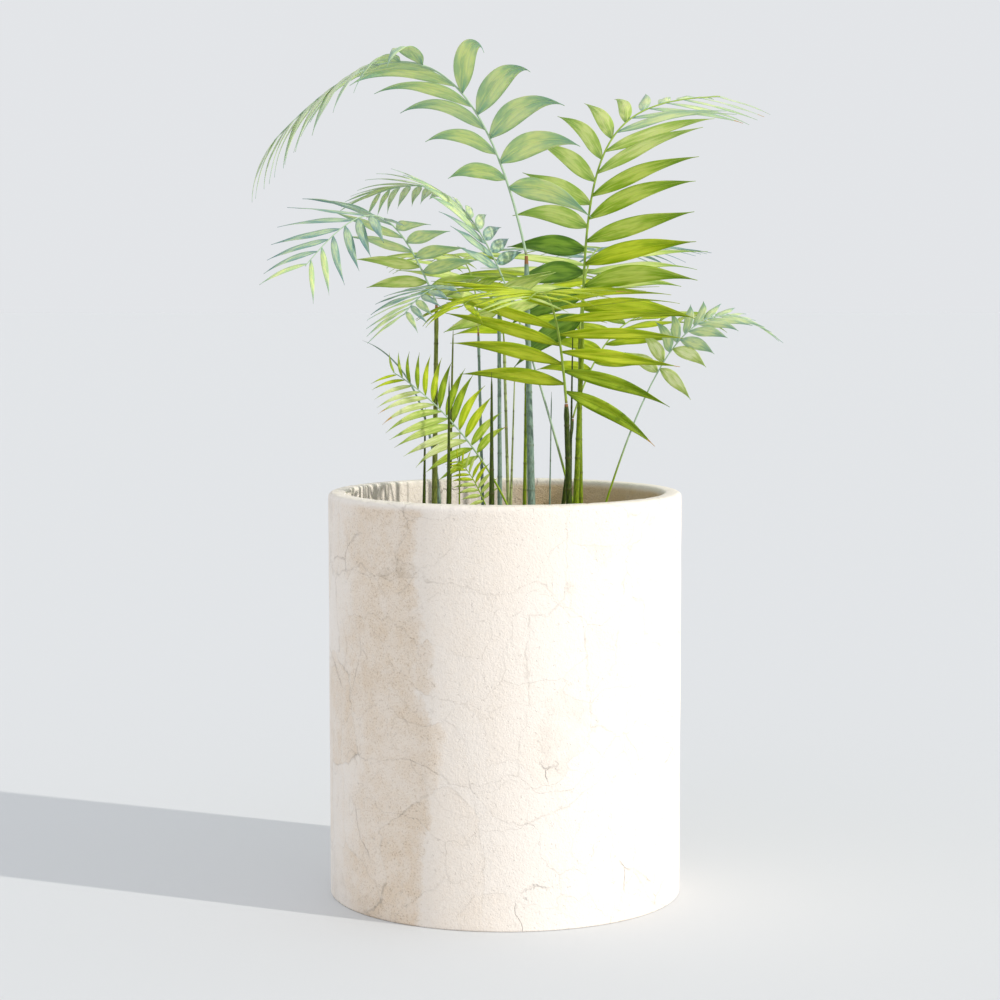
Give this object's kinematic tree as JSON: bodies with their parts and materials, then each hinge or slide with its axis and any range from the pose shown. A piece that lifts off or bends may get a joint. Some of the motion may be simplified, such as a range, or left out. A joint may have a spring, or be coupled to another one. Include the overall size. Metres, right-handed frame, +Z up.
{
  "type": "potted parlor palm",
  "caption": "Small feather-leaved palm with slender canes, bare spears and arching fronds, in a plain round plaster planter filled with soil.",
  "frame": {"origin": "middle of the pot's flat underside, on the surface that it stands on", "axes": "+Z up, +X to the right as the picture looks at the plant, -Y towards the camera"},
  "size_m": [0.5062, 0.742, 0.832],
  "materials": {
    "pot_plaster": "matte",
    "soil": "matte",
    "cane": "satin",
    "frond": "satin"
  },
  "bodies": {
    "root": {"pot": "pot_plaster", "soil": "soil", "cane_top_left": "cane", "cane_right_tall": "cane", "cane_right_back": "cane", "cane_front_low": "cane", "cane_left_wide": "cane", "cane_left_low": "cane", "cane_middle": "cane", "cane_rear_left": "cane", "cane_rear": "cane", "cane_rear_right": "cane", "spear_far_left": "cane", "spear_left": "cane", "spear_arching": "cane", "spear_front_left": "cane", "spear_thin_left": "cane", "spear_front": "cane", "spear_middle": "cane", "spear_thin_right": "cane", "spear_right": "cane", "frond_top_left_lower": "frond", "frond_top_left_outer": "frond", "frond_right_tall_lower": "frond", "frond_right_tall_outer": "frond", "frond_right_back_lower": "frond", "frond_right_back_outer": "frond", "frond_front_low_lower": "frond", "frond_front_low_outer": "frond", "frond_right_low": "frond", "frond_left_arch_lower": "frond", "frond_left_arch_outer": "frond", "frond_left_wide": "frond", "frond_left_low": "frond", "frond_fan": "frond", "frond_young": "frond", "frond_middle": "frond", "frond_rear_left": "frond", "frond_rear_lower": "frond", "frond_rear_outer": "frond", "frond_rear_right": "frond"}
  },
  "joints": []
}
